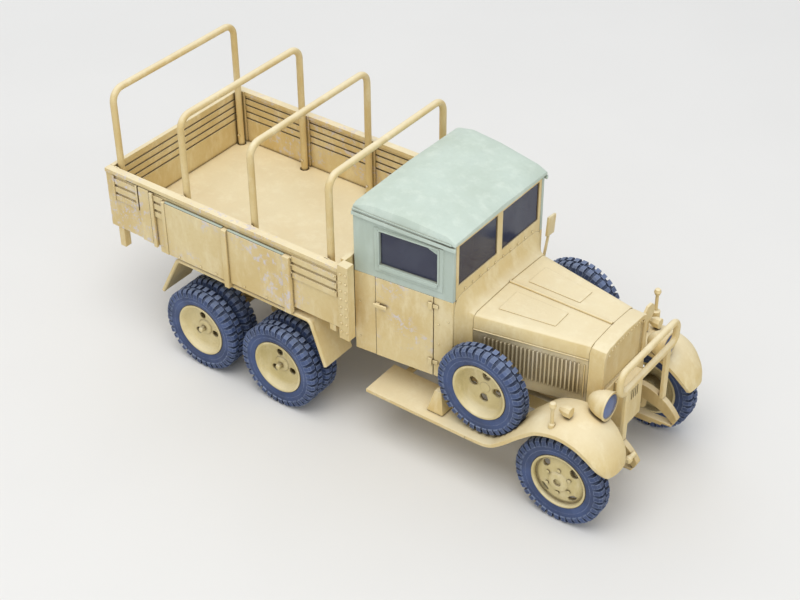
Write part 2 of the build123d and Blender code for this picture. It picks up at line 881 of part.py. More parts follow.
louvre_rear_x = hood_rear_x + louvre_end
louvre_front_x = hood_front_x - louvre_end + 0.4
louvre_pitch = (louvre_front_x - louvre_rear_x) / (louvre_count - 1)
with BuildPart() as hood_sides:
    for side_name, side in sides:
        side_panel(
            hood_half, hood_rear_x, hood_front_x, hood_wall, hood_bottom, hood_seam, side
        )
        for index in range(louvre_count):
            x = louvre_rear_x + index * louvre_pitch
            block(
                x - louvre_width / 2, x + louvre_width / 2, side * (hood_half(x) - 0.2),
                side * (hood_half(x) + louvre_rise), louvre_bottom, louvre_top,
            )
save(hood_sides, "hood_sides")

recess_depth = 0.4
with BuildPart() as radiator_shell:
    outside = hood_section(
        hood_front_x, radiator_half, radiator_bottom, corner=radiator_corner
    )
    extrude(outside, amount=radiator_depth)
    recess = hood_section(
        radiator_front_x - recess_depth, radiator_half - shell_wall, apron_top,
        hood_top_z - shell_wall, radiator_corner - shell_wall / 2,
    )
    extrude(recess, amount=recess_depth, mode=Mode.SUBTRACT)
save(radiator_shell, "radiator_shell")

vent_pitch = 0.42
with BuildPart() as nose_apron:
    block(radiator_front_x, apron_front_x, -apron_half, apron_half, apron_bottom, apron_top)
    for index in range(vent_count):
        y = (index - (vent_count - 1) / 2) * vent_pitch
        block(
            apron_front_x - 0.25, apron_front_x + 0.1, y - 0.1, y + 0.1, 11.6, 13.4,
            mode=Mode.SUBTRACT,
        )
save(nose_apron, "nose_apron")


# Fenders, running boards and spare wheels


disc_back = spare_tyre_y - rim_seat

# Fender stations: x, ridge z, lean, inner and outer |y|, drop to the inner and outer edge
fender_rows = (
    (board_front_x, board_top, 0, board_inner_y, fender_outer_y, 0.02, 0.02),
    (20.2, 7.45, 20, board_inner_y, fender_outer_y, 0.05, 0.1),
    (21.8, 8.75, 45, 6.4, fender_outer_y, 0.1, 0.35),
    (23.8, 11.1, 50, 6.2, fender_outer_y, 0.25, 0.7),
    (26.0, 13.2, 34, 5.9, fender_outer_y, 0.4, 1.0),
    (29.0, 14.2, 7, 5.8, fender_outer_y, 0.5, 1.15),
    (31.8, 13.85, -18, 5.9, fender_outer_y, 0.5, 1.15),
    (33.8, 12.6, -42, 6.1, fender_outer_y - 0.1, 0.5, 1.05),
    (35.2, 10.7, -62, 6.6, fender_outer_y - 0.6, 0.4, 0.9),
    (35.75, 9.2, -72, 7.3, fender_outer_y - 1.5, 0.25, 0.5),
)


def fender_section(side, row):
    """A crowned slice of the fender's shell, square to its sweep."""
    x, z, lean, y0, y1, drop0, drop1 = row
    across = (cos(radians(lean)), 0, sin(radians(lean)))
    over = []
    for share in (-1, -0.55, 0, 0.55, 1):
        edge_drop = drop0 if share < 0 else drop1
        y = (y0 + y1) / 2 + share * (y1 - y0) / 2
        over.append((side * y, -edge_drop * share**2))
    under = [(y, z - board_wall) for y, z in reversed(over)]
    with BuildSketch(Plane(origin=(x, 0, z), x_dir=(0, 1, 0), z_dir=across)) as section:
        with BuildLine():
            Polyline(*over, *under, close=True)
        make_face()
    return section.sketch


for side_name, side in sides:
    with BuildPart() as fender:
        loft([fender_section(side, row) for row in fender_rows], ruled=True)
        block(
            board_rear_x, board_front_x, side * board_inner_y, side * fender_outer_y,
            board_top - board_wall, board_top,
        )
        well = wheel_plane(spare_x, spare_tyre_y, spare_z, side)
        well_reach = tyre_width / 2 + spare_well_gap
        prism(
            well, -well_reach, well_reach, tyre_radius + spare_well_gap, tyre_flats, Mode.SUBTRACT
        )
        cross_wall(
            hood_half, hood_rear_x, hood_front_x + 4, -louvre_rise - seat_gap,
            hood_bottom - seat_gap, apron_top, mode=Mode.SUBTRACT,
        )
        lamp_well = Plane(
            origin=(lamp_x, side * lamp_y, lamp_z), x_dir=(0, 1, 0), z_dir=(1, 0, 0)
        )
        prism(
            lamp_well, -lamp_length, 3, lamp_radius + lamp_clearance, lamp_flats, Mode.SUBTRACT
        )
    save(fender, f"fender_{side_name}")

with BuildPart() as spare_tyres:
    for side_name, side in sides:
        tyre_at(wheel_plane(spare_x, spare_tyre_y, spare_z, side))
save(spare_tyres, "spare_tyres")

spare_dish = disc_wall - rim_seat
with BuildPart() as spare_wheels:
    for side_name, side in sides:
        spare = wheel_plane(spare_x, spare_tyre_y, spare_z, side)
        prism(spare, -rim_seat, rim_seat, rim_radius, tyre_flats)
        turned(
            spare, [(spare_dish, 2.35), (0.3, rim_in - 0.1), (rim_seat, rim_in)], tyre_flats,
            Mode.SUBTRACT,
        )
        wheel_holes(spare, 1.6, 0.5, 8, 5, rim_seat)
save(spare_wheels, "spare_wheels")

with BuildPart() as spare_brackets:
    for side_name, side in sides:
        block(
            spare_x - 0.8, spare_x + 0.8, side * (hood_half(spare_x - 0.8) + seat_gap),
            side * (disc_back - seat_gap), bracket_bottom, louvre_bottom - 0.15,
        )
save(spare_brackets, "spare_brackets")


# Front guard and lamps

post_half = 0.3
with BuildPart() as front_guard:
    corners = [
        (bar_x, y, z)
        for y, z in (
            (-bar_half, bar_top), (bar_half, bar_top), (bar_half, bar_bottom),
            (-bar_half, bar_bottom),
        )
    ]
    loop = []
    for index, corner in enumerate(corners):
        loop += eased(corner, corners[index - 1], corners[(index + 1) % 4], guard_corner)
    with BuildLine() as guard_line:
        Polyline(*loop, close=True)
    start = guard_line.line @ 0
    tube = ngon(Plane(origin=start, z_dir=guard_line.line % 0), bar_radius, tube_flats)
    sweep(tube, path=guard_line.line, transition=Transition.RIGHT)
    for side_name, side in sides:
        block(
            bar_x - post_half, bar_x + post_half, side * (rail_y - post_half),
            side * (rail_y + post_half), rail_top_at(bar_x - post_half) + seat_gap, bar_bottom,
        )
save(front_guard, "front_guard")

# Headlamp rings as shares: distance back from the rim over its length, radius over its radius
lamp_rings = ((0.97, 0.3), (0.72, 0.66), (0.32, 0.93), (0, 1))
with BuildPart() as headlamps:
    for side_name, side in sides:
        lamp = Plane(origin=(lamp_x, side * lamp_y, lamp_z), x_dir=(0, 1, 0), z_dir=(1, 0, 0))
        rings = [(-back * lamp_length, share * lamp_radius) for back, share in lamp_rings]
        turned(lamp, [*rings, (lamp_rim, lamp_radius)], lamp_flats)
save(headlamps, "headlamps")

with BuildPart() as headlamp_lenses:
    for side_name, side in sides:
        lamp_face = Plane(
            origin=(lamp_x + lamp_rim + seat_gap, side * lamp_y, lamp_z),
            x_dir=(0, 1, 0), z_dir=(1, 0, 0),
        )
        turned(lamp_face, [(0, lamp_radius - 0.15), (lens_wall, lamp_radius - 0.6)], lamp_flats)
save(headlamp_lenses, "headlamp_lenses")

with BuildPart() as marker_poles:
    for side_name, side in sides:
        pole = Plane(origin=(pole_x, side * pole_y, pole_foot))
        prism(pole, 0, pole_height, pole_radius, tube_flats)
        prism(pole, pole_height, pole_height + 0.5, 2 * pole_radius, tube_flats)
save(marker_poles, "marker_poles")

with BuildPart() as side_lamps:
    for side_name, side in sides:
        lamp = Plane(
            origin=(side_lamp_x, side * side_lamp_y, side_lamp_z), x_dir=(0, 1, 0), z_dir=(1, 0, 0)
        )
        rings = [(-0.9, side_lamp_radius / 2), (-0.2, side_lamp_radius), (0.5, side_lamp_radius)]
        turned(lamp, rings, tube_flats)
        block(
            side_lamp_x - 0.2, side_lamp_x + 0.2, side * (side_lamp_y - 0.2),
            side * (side_lamp_y + 0.2), mirror_foot, side_lamp_z,
        )
save(side_lamps, "side_lamps")

with BuildPart() as fender_mirror:
    stem = Plane(origin=(mirror_x, mirror_y, mirror_foot))
    prism(stem, 0, mirror_z - mirror_foot, pole_radius, tube_flats)
    paddle = Plane(origin=(mirror_x, mirror_y, mirror_z), x_dir=(0, 1, 0), z_dir=(1, 0, 0))
    prism(paddle, -pole_radius, pole_radius, mirror_radius, tube_flats)
save(fender_mirror, "fender_mirror")

with BuildPart() as board_wedges:
    for side_name, side in sides:
        with BuildSketch(Plane.XY.offset(board_top + seat_gap)) as base:
            with Locations((wedge_x, side * wedge_y)):
                Rectangle(2.2, 2.0)
        extrude(base.sketch, amount=wedge_height, taper=13)
save(board_wedges, "board_wedges")
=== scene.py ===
"""Looks of the six-wheeled army cargo truck model. Metres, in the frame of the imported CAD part."""

import json
import math

import bmesh
import bpy
from mathutils import Matrix, Vector


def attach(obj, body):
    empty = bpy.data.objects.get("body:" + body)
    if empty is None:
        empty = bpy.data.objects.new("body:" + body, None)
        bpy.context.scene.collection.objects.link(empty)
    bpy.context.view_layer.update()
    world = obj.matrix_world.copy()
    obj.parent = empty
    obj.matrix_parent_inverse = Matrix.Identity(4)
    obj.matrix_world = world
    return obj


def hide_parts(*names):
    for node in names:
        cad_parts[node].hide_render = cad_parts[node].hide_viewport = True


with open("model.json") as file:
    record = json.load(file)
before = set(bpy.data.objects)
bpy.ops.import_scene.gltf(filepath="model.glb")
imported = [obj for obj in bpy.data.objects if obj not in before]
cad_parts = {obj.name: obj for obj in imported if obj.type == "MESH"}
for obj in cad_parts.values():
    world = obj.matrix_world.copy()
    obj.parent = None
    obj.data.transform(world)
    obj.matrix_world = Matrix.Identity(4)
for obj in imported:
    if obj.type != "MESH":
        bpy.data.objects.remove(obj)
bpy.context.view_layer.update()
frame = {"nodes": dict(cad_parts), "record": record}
MM = 0.001
TRUCK = "truck"


# Colours and materials


def srgb(r, g, b):
    """A colour read as 0 to 255 values, as linear RGBA."""
    out = []
    for c in (r, g, b):
        c /= 255
        out.append(c / 12.92 if c <= 0.04045 else ((c + 0.055) / 1.055) ** 2.4)
    return (*out, 1)


SAND = srgb(228, 209, 158)
SAND_LIGHT = srgb(244, 232, 194)
# Paler sand for painted light on what faces up
SAND_PALE = srgb(250, 243, 216)
SAND_DEEP = srgb(207, 176, 106)
# Colour of the thin painted shade line in grooves and corners
SHADE_LINE = srgb(92, 68, 34)
SCUFF = srgb(214, 208, 214)
# Colour of the painted shade deep in hollows
HOLLOW_SHADE = srgb(96, 80, 44)
GREEN = srgb(202, 217, 207)
GREEN_LIGHT = srgb(219, 231, 220)
GREEN_DEEP = srgb(180, 194, 178)
FRAME_GREEN = srgb(186, 200, 190)
WHEEL_SAND = srgb(222, 206, 156)
WHEEL_OCHRE = srgb(188, 170, 104)
LOUVRE_SAND = srgb(218, 206, 172)
LOUVRE_RIDGE = srgb(236, 228, 212)
FRAME_SAND = srgb(208, 184, 128)
FRAME_OCHRE = srgb(172, 144, 88)
RUBBER = srgb(56, 70, 104)
RUBBER_LIGHT = srgb(70, 88, 130)
# Colour of the painted highlight on the tyres
RUBBER_HIGHLIGHT = srgb(158, 174, 204)
# Colour of the painted shade in the tyre grooves
RUBBER_DARK = srgb(20, 26, 46)
GLASS = srgb(52, 54, 78)
GLASS_SMEAR = srgb(86, 92, 108)
LAMP_BLUE = srgb(112, 130, 176)
SEAT = srgb(70, 54, 36)
SEAT_LIGHT = srgb(104, 82, 56)
# Colour of the painted shade in the seat's corners
SEAT_DARK = srgb(30, 24, 18)
PAPER = srgb(232, 232, 230)
PAPER_SHADE = srgb(226, 226, 224)


class Tree:
    """Adds nodes to a material and links them, with positions left to Blender."""

    def __init__(self, name):
        self.mat = bpy.data.materials.new(name)
        self.mat.use_nodes = True
        self.nodes = self.mat.node_tree.nodes
        self.nodes.clear()
        self.shader = self.add("ShaderNodeBsdfPrincipled")
        out = self.add("ShaderNodeOutputMaterial")
        self.link(self.shader.outputs[0], out.inputs[0])
        self.coord = self.add("ShaderNodeTexCoord").outputs["Object"]

    def add(self, kind, **settings):
        node = self.nodes.new(kind)
        for key, value in settings.items():
            setattr(node, key, value)
        return node

    def link(self, a, b):
        self.mat.node_tree.links.new(a, b)

    def feed(self, socket, value):
        if isinstance(value, bpy.types.NodeSocket):
            self.link(value, socket)
        else:
            socket.default_value = value

    def noise(self, size, detail=3.0, rough=0.5, stretch=None):
        """Noise whose features are about size metres across."""
        vector = self.coord
        if stretch:
            mapping = self.add("ShaderNodeMapping")
            mapping.inputs["Scale"].default_value = stretch
            self.link(vector, mapping.inputs["Vector"])
            vector = mapping.outputs[0]
        node = self.add("ShaderNodeTexNoise")
        self.link(vector, node.inputs["Vector"])
        node.inputs["Scale"].default_value = 1 / size
        node.inputs["Detail"].default_value = detail
        node.inputs["Roughness"].default_value = rough
        return node.outputs[0]

    def ramp(self, value, low, high, out_low=0.0, out_high=1.0):
        node = self.add("ShaderNodeMapRange")
        node.interpolation_type = "SMOOTHSTEP"
        self.feed(node.inputs["Value"], value)
        node.inputs["From Min"].default_value = low
        node.inputs["From Max"].default_value = high
        node.inputs["To Min"].default_value = out_low
        node.inputs["To Max"].default_value = out_high
        return node.outputs["Result"]

    def math(self, op, a, b=0.0):
        node = self.add("ShaderNodeMath", operation=op, use_clamp=op in ("MULTIPLY", "ADD"))
        self.feed(node.inputs[0], a)
        self.feed(node.inputs[1], b)
        return node.outputs[0]

    def mix(self, share, a, b):
        node = self.add("ShaderNodeMix", data_type="RGBA")
        self.feed(node.inputs["Factor"], share)
        self.feed(node.inputs[6], a)
        self.feed(node.inputs[7], b)
        return node.outputs[2]

    def cavity(self, reach):
        """1 in grooves and corners, 0 on open faces."""
        node = self.add("ShaderNodeAmbientOcclusion", samples=6)
        node.inputs["Distance"].default_value = reach
        return self.ramp(node.outputs["AO"], 0.35, 0.95, 1.0, 0.0)

    def edge(self, radius):
        """1 along outer edges, from the bend of a rounded normal."""
        bevel = self.add("ShaderNodeBevel", samples=4)
        bevel.inputs["Radius"].default_value = radius
        geometry = self.add("ShaderNodeNewGeometry")
        dot = self.add("ShaderNodeVectorMath", operation="DOT_PRODUCT")
        self.link(bevel.outputs[0], dot.inputs[0])
        self.link(geometry.outputs["Normal"], dot.inputs[1])
        return self.ramp(dot.outputs["Value"], 0.80, 0.99, 1.0, 0.0)

    def lit_from_above(self, most):
        """From 0 on walls to the given value on level tops, for painted light falling from above."""
        split = self.add("ShaderNodeSeparateXYZ")
        self.link(self.add("ShaderNodeNewGeometry").outputs["Normal"], split.inputs[0])
        return self.ramp(split.outputs["Z"], 0.35, 1.0, 0.0, most)

    def bump(self, height, distance, strength=1.0):
        node = self.add("ShaderNodeBump")
        node.inputs["Distance"].default_value = distance
        node.inputs["Strength"].default_value = strength
        self.link(height, node.inputs["Height"])
        self.link(node.outputs[0], self.shader.inputs["Normal"])

    def done(self, color, rough):
        self.feed(self.shader.inputs["Base Color"], color)
        self.feed(self.shader.inputs["Roughness"], rough)
        return self.mat


def paint(
    name, mid, light, deep, corner_shade=0.85, edge_highlight=0.7, scuffs=0.0, wrinkle=0.0,
    hollow_shade=0.0, hollow_shade_from=0.4, lit_tops=0.5, line_reach=0.4,
):
    """Brushed model paint: soft random tone, painted light on what faces up, painted shade in the corners
    and painted highlights along the edges.

    corner_shade, edge_highlight and scuffs say how strong the painted corner shade, the painted edge
    highlights and the pale scuffs are.
    wrinkle is the height of canvas folds in metres. hollow_shade darkens deep hollows with painted shade,
    from hollow_shade_from on.
    lit_tops says how much what faces up is paled by painted light from above. line_reach is how far the
    thin painted shade line reaches, in millimetres.
    """
    t = Tree(name)
    tone = t.mix(t.ramp(t.noise(8 * MM, 4), 0.3, 0.7, 0.0, 0.55), mid, deep)
    streaks = t.ramp(t.noise(1.6 * MM, 5, 0.65, stretch=(1, 1, 0.35)), 0.45, 0.75, 0.0, 0.55)
    tone = t.mix(streaks, tone, light)
    fine = t.ramp(t.noise(0.45 * MM, 4, 0.7), 0.3, 0.75, 0.0, 0.18)
    tone = t.mix(fine, tone, deep)
    # Painted light: what faces up is paled, as if lit from above
    if lit_tops:
        tone = t.mix(t.lit_from_above(lit_tops), tone, SAND_PALE)
    if scuffs:
        chips = t.ramp(t.noise(0.9 * MM, 6, 0.75), 0.52, 0.6)
        patch = t.ramp(t.noise(7 * MM, 2), 0.44, 0.58, 0.0, scuffs)
        tone = t.mix(t.math("MULTIPLY", chips, patch), tone, SCUFF)
    # Painted shade: a broad darkening toward the deep tone and a thin dark line in grooves and corners
    soft = t.math("MULTIPLY", t.cavity(1.3 * MM), 0.35 * corner_shade)
    tone = t.mix(soft, tone, deep)
    line = t.math("MULTIPLY", t.cavity(line_reach * MM), corner_shade)
    tone = t.mix(line, tone, SHADE_LINE)
    # Painted shade deep in hollows
    if hollow_shade:
        hollow = t.ramp(t.cavity(3 * MM), hollow_shade_from, hollow_shade_from + 0.5, 0.0, hollow_shade)
        tone = t.mix(hollow, tone, HOLLOW_SHADE)
    # Painted highlight: outer edges are painted lighter, broken up by brushy noise
    brushed = t.ramp(t.noise(0.8 * MM, 4, 0.7), 0.35, 0.7, 0.3, 1.0)
    lit_edges = t.math("MULTIPLY", t.edge(0.12 * MM), t.math("MULTIPLY", brushed, edge_highlight))
    tone = t.mix(lit_edges, tone, light)
    grain = t.noise(0.3 * MM, 4, 0.6)
    if wrinkle:
        folds = t.ramp(t.noise(3.2 * MM, 3, 0.5, stretch=(0.6, 1.5, 1)), 0.3, 0.7)
        height = t.math("ADD", t.math("MULTIPLY", grain, 0.2), t.math("MULTIPLY", folds, 0.8))
        t.bump(height, wrinkle, 0.8)
    else:
        t.bump(grain, 0.03 * MM, 0.6)
    return t.done(tone, t.ramp(t.noise(1.5 * MM, 3), 0.3, 0.7, 0.55, 0.78))


def rubber():
    """Slate rubber with painted highlights on the tops and the block edges, and painted shade in the
    grooves.
    """
    t = Tree("tyre_rubber")
    tone = t.mix(t.ramp(t.noise(3 * MM, 4), 0.35, 0.7), RUBBER, RUBBER_LIGHT)
    # Painted highlight: what faces up and the edges of the blocks are painted pale
    tone = t.mix(t.lit_from_above(0.35), tone, RUBBER_HIGHLIGHT)
    lug_highlight = t.math("MULTIPLY", t.edge(0.16 * MM), t.ramp(t.noise(0.7 * MM, 4), 0.3, 0.6, 0.4, 1))
    tone = t.mix(t.math("MULTIPLY", lug_highlight, 0.8), tone, RUBBER_HIGHLIGHT)
    # Painted shade in the grooves
    tone = t.mix(t.math("MULTIPLY", t.cavity(0.5 * MM), 0.75), tone, RUBBER_DARK)
    t.bump(t.noise(0.3 * MM, 4, 0.6), 0.02 * MM, 0.6)
    return t.done(tone, t.ramp(t.noise(1.2 * MM, 3), 0.3, 0.7, 0.5, 0.75))


def glazing(name, tint, rough):
    """Thick clear plastic with a smeared gloss."""
    t = Tree(name)
    smear = t.ramp(t.noise(2.5 * MM, 4), 0.35, 0.7, rough, rough + 0.12)
    color = t.mix(t.ramp(t.noise(4 * MM, 3), 0.3, 0.7, 0.0, 0.5), tint, GLASS_SMEAR)
    t.shader.inputs["Alpha"].default_value = 0.75
    t.shader.inputs["IOR"].default_value = 1.49
    t.bump(t.noise(1.8 * MM, 2), 0.01 * MM, 0.4)
    return t.done(color, smear)


def leather():
    """Dull brown paint of the seat and the controls, with painted shade in the corners."""
    t = Tree("seat_brown")
    tone = t.mix(t.ramp(t.noise(2 * MM, 4), 0.35, 0.7), SEAT, SEAT_LIGHT)
    # Painted shade in the corners
    tone = t.mix(t.math("MULTIPLY", t.cavity(1 * MM), 0.6), tone, SEAT_DARK)
    t.bump(t.noise(0.5 * MM, 4), 0.03 * MM, 0.6)
    return t.done(tone, t.ramp(t.noise(1 * MM, 3), 0.3, 0.7, 0.5, 0.7))


sand = paint("sand_paint", SAND, SAND_LIGHT, SAND_DEEP)
sand_side = paint("sand_paint_scuffed", SAND, SAND_LIGHT, SAND_DEEP, scuffs=0.85)
chassis = paint("chassis_paint", FRAME_SAND, SAND, FRAME_OCHRE, corner_shade=1.0)
# The louvre gaps get strong painted shade in their hollows
louvred = paint(
    "louvre_paint", LOUVRE_SAND, LOUVRE_RIDGE, SAND_DEEP, corner_shade=1.0,
    hollow_shade=0.8, hollow_shade_from=0.2, line_reach=0.8,
)
# The wheel holes and dishes get painted shade in their hollows
wheel_paint = paint("wheel_paint", WHEEL_SAND, SAND_LIGHT, WHEEL_OCHRE, hollow_shade=0.92)
green = paint("green_grey_paint", GREEN, GREEN_LIGHT, GREEN_DEEP, corner_shade=0.6, wrinkle=0.05 * MM, lit_tops=0)
window_green = paint("window_frame_paint", FRAME_GREEN, GREEN, GREEN_DEEP, corner_shade=0.7, lit_tops=0)
tyre = rubber()
glass = glazing("window_glass", GLASS, 0.12)
lens = glazing("lamp_glass", LAMP_BLUE, 0.08)
brown = leather()

LOOKS = {
    "sand_paint": sand,
    "dark_chassis": chassis,
    "green_grey_paint": green,
    "tyre_black": tyre,
    "clear_window": glass,
    "lamp_lens": lens,
    "seat_brown": brown,
}
OWN_LOOK = {
    "bed_side_left": sand_side,
    "bed_side_right": sand_side,
    "door_right": sand_side,
    "door_left": sand_side,
    "hood_sides": louvred,
    "window_frames": window_green,
    "cab_rear_upper": window_green,
}


MERGE_REACH = 0.002 * MM
SMOOTH_BELOW = 34
EDGE_WIDTH = 0.07
BEVEL_ANGLE = 40


def soft_shading():
    """A node group that joins a node's faces and shades gentle bends smooth."""
    group = bpy.data.node_groups.new("soft_shading", "GeometryNodeTree")
    group.interface.new_socket("Geometry", in_out="INPUT", socket_type="NodeSocketGeometry")
    group.interface.new_socket("Geometry", in_out="OUTPUT", socket_type="NodeSocketGeometry")
    add, link = group.nodes.new, group.links.new
    start, end = add("NodeGroupInput"), add("NodeGroupOutput")
    merge = add("GeometryNodeMergeByDistance")
    merge.inputs["Distance"].default_value = MERGE_REACH
    faces, edges = add("GeometryNodeSetShadeSmooth"), add("GeometryNodeSetShadeSmooth")
    edges.domain = "EDGE"
    edges.inputs["Shade Smooth"].default_value = False
    angle = add("GeometryNodeInputMeshEdgeAngle")
    sharp = add("FunctionNodeCompare")
    sharp.operation = "GREATER_THAN"
    sharp.inputs[1].default_value = math.radians(SMOOTH_BELOW)
    link(start.outputs[0], merge.inputs["Geometry"])
    link(merge.outputs[0], faces.inputs["Geometry"])
    link(faces.outputs[0], edges.inputs["Geometry"])
    link(angle.outputs["Unsigned Angle"], sharp.inputs[0])
    link(sharp.outputs[0], edges.inputs["Selection"])
    link(edges.outputs[0], end.inputs[0])
    return group


def round_edges(obj, width):
    """Rounds an object's sharp edges by that many millimetres."""
    bevel = obj.modifiers.new("soft_edges", "BEVEL")
    bevel.width = width * MM
    bevel.segments = 2
    bevel.limit_method = "ANGLE"
    bevel.angle_limit = math.radians(BEVEL_ANGLE)


shading = soft_shading()
for entry in frame["record"]["subparts"]:
    node = frame["nodes"][entry["node"]]
    look = OWN_LOOK.get(entry["node"], LOOKS[entry["material_slot"]])
    node.data.materials.clear()
    node.data.materials.append(look)
    soft = node.modifiers.new("soft_shading", "NODES")
    soft.node_group = shading
    round_edges(node, EDGE_WIDTH)


# Pieces, built in millimetres

STUD_FLATS = 10
CREASE_ANGLE = 35


class Shape:
    """Collects mesh in millimetres and turns it into one piece."""

    def __init__(self):
        self.bm = bmesh.new()

    def box(self, centre, size, turn=Matrix()):
        """A block of that size, turned about its middle."""
        place = Matrix.Translation(centre) @ turn.to_4x4() @ Matrix.Diagonal((*size, 1))
        bmesh.ops.create_cube(self.bm, size=1, matrix=place)

    def lathe(self, rings, count, place):
        """Turns rings of (distance along Z, radius) about Z, then places the result."""
        loops = []
        for along, radius in rings:
            spots = count if radius > 0 else 1
            angles = [2 * math.pi * i / count for i in range(spots)]
            points = [(radius * math.cos(a), radius * math.sin(a), along) for a in angles]
            loops.append([self.bm.verts.new(place @ Vector(p)) for p in points])
        for low, high in zip(loops, loops[1:]):
            for i in range(count):
                j = (i + 1) % count
                ring = [low[i % len(low)], low[j % len(low)]]
                ring += [high[j % len(high)], high[i % len(high)]]
                self.bm.faces.new(list(dict.fromkeys(ring)))

    def wedge(self, outline, place, angle, width):
        """A flat outline of (along, radius) made a block of that width, at an angle about Z."""
        turned = place @ Matrix.Rotation(angle, 4, "Z")
        ends = []
        for side in (-1, 1):
            points = [(r, side * width / 2, along) for along, r in outline]
            ends.append([self.bm.verts.new(turned @ Vector(p)) for p in points])
        near, far = ends
        self.bm.faces.new(near)
        self.bm.faces.new(far[::-1])
        for i in range(len(outline)):
            j = (i + 1) % len(outline)
            self.bm.faces.new((near[j], near[i], far[i], far[j]))

    def stud(self, centre, normal, radius=0.14):
        """A low round rivet head on a face."""
        turn = Vector(normal).to_track_quat("Z", "Y").to_matrix().to_4x4()
        head = [(0, radius), (0.6 * radius, 0.75 * radius), (0.85 * radius, 0)]
        self.lathe(head, STUD_FLATS, Matrix.Translation(centre) @ turn)

    def mesh(self, name):
        """The finished mesh in metres, smooth but for its creases."""
        bmesh.ops.recalc_face_normals(self.bm, faces=self.bm.faces)
        for face in self.bm.faces:
            face.smooth = True
        for edge in self.bm.edges:
            if len(edge.link_faces) == 2 and edge.calc_face_angle() > math.radians(CREASE_ANGLE):
                edge.smooth = False
        data = bpy.data.meshes.new(name)
        self.bm.to_mesh(data)
        self.bm.free()
        data.transform(Matrix.Scale(MM, 4))
        return data

    def piece(self, name, material, slot, body=TRUCK, nodes=(), bevel=0.0, cutter=None):
        """Makes the visible piece, with what it rides on and the nodes that it replaces."""
        data = self.mesh(name)
        if cutter:
            data = carved(data, cutter.mesh(name + "_cut"), name)
        data.materials.clear()
        data.materials.append(material)
        obj = bpy.data.objects.new(name, data)
        bpy.context.collection.objects.link(obj)
        if bevel:
            round_edges(obj, bevel)
        declare(obj, body, nodes)


def declare(obj, body, nodes):
    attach(obj, body)
    if nodes:
        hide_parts(*nodes)


def carved(data, cut, name):
    """A mesh with the cutter taken away."""
    whole = bpy.data.objects.new(name + "_whole", data)
    tool = bpy.data.objects.new(name + "_tool", cut)
    for obj in (whole, tool):
        bpy.context.collection.objects.link(obj)
    remove = whole.modifiers.new("cut", "BOOLEAN")
    remove.operation = "DIFFERENCE"
    remove.solver = "EXACT"
    remove.object = tool
    graph = bpy.context.evaluated_depsgraph_get()
    result = bpy.data.meshes.new_from_object(whole.evaluated_get(graph))
    for obj in (whole, tool):
        bpy.data.objects.remove(obj)
    return result


FACE_FORWARD = Matrix.Rotation(math.pi / 2, 4, "Y")


def axle_place(x, y, z, side):
    """Z outward along an axle, at a wheel's middle."""
    axes = Matrix(((1, 0, 0), (0, 0, side), (0, -side, 0)))
    return Matrix.Translation((x, side * y, z)) @ axes.to_4x4()


# Wheels and tyres. Rings are (distance along the axle, radius).

TYRE_RINGS = [
    (-0.84, 3.57), (-0.98, 3.8), (-1.02, 4.2), (-1.0, 4.22), (-1.04, 4.7), (-0.98, 5.0),
    (-0.74, 5.26), (0, 5.36), (0.74, 5.26), (0.98, 5.0), (1.04, 4.7), (1.0, 4.22), (1.02, 4.2),
    (0.98, 3.8), (0.84, 3.57), (-0.84, 3.57),
]
# A block's outline on the outer half of a tyre, (along, radius)
LUG = [(0.1, 5.15), (0.1, 5.6), (0.75, 5.65), (1.03, 5.42), (1.14, 4.75), (0.9, 4.65)]
LUG_COUNT = 36
LUG_WIDTH = 0.56
LUG_SHIFT = 0.25
WHEEL_FLATS = 72
FRONT_Y, DUAL_Y, DUAL_PITCH = 10.05, 11.525, 2.75
SIDES = (("left", 1), ("right", -1))
AXLES = {"front": 29.2, "middle": -8.8, "rear": -21.3}
AXLE_Z = 5.65
# x, y, z
SPARE = (18.4, 10.05, 13.1)


def add_tyre(shape, place):
    """A tyre with a row of blocks on each shoulder, the rows half a step apart."""
    shape.lathe(TYRE_RINGS, WHEEL_FLATS, place)
    for side in (-1, 1):
        outline = [(side * along, radius) for along, radius in LUG]
        for index in range(LUG_COUNT):
            angle = 2 * math.pi * (index + LUG_SHIFT * side) / LUG_COUNT
            shape.wedge(outline[::side], place, angle, LUG_WIDTH)


def ring_of(shape, place, count, radius, rings, flats, start=30, long=1.0):
    """Small turned bodies evenly round a wheel, from the angle start, stretched around it by long."""
    for index in range(count):
        turn = Matrix.Rotation(math.radians(start) + 2 * math.pi * index / count, 4, "Z")
        spot = Matrix.Translation((radius, 0, 0)) @ Matrix.Diagonal((1, long, 1, 1))
        shape.lathe(rings, flats, place @ turn @ spot)


FRONT_RINGS = [
    (0.4, 0), (0.4, 0.66), (-1.05, 0.66), (-1.05, 1.15), (0.35, 1.15), (0.35, 1.9), (0.0, 3.0),
    (-0.1, 3.2), (-0.84, 3.3), (-0.84, 3.54), (0.84, 3.54), (0.93, 3.48), (0.93, 3.32), (0.8, 3.2),
    (0.36, 3.14), (0.36, 2.95), (0.7, 2.1), (0.8, 1.3), (1.02, 1.12), (1.1, 0.95), (1.1, 0.5),
    (0.86, 0.42), (0.86, 0),
]
DUAL_RINGS = [
    (0.9, 0), (0.9, 0.66), (-2.42, 0.66), (-2.42, 1.15), (0.95, 1.15), (0.95, 3.0), (-2.2, 3.25),
    (-2.22, 3.54), (-0.6, 3.54), (-0.5, 3.4), (0.5, 3.4), (0.6, 3.54), (2.22, 3.54), (2.31, 3.48),
    (2.31, 3.28), (2.15, 3.12), (1.75, 2.95), (1.4, 2.55), (1.3, 2.15), (1.3, 1.05), (1.45, 0.95),
    (1.56, 0.75), (1.6, 0.4), (2.15, 0.36), (2.32, 0.26), (2.36, 0),
]
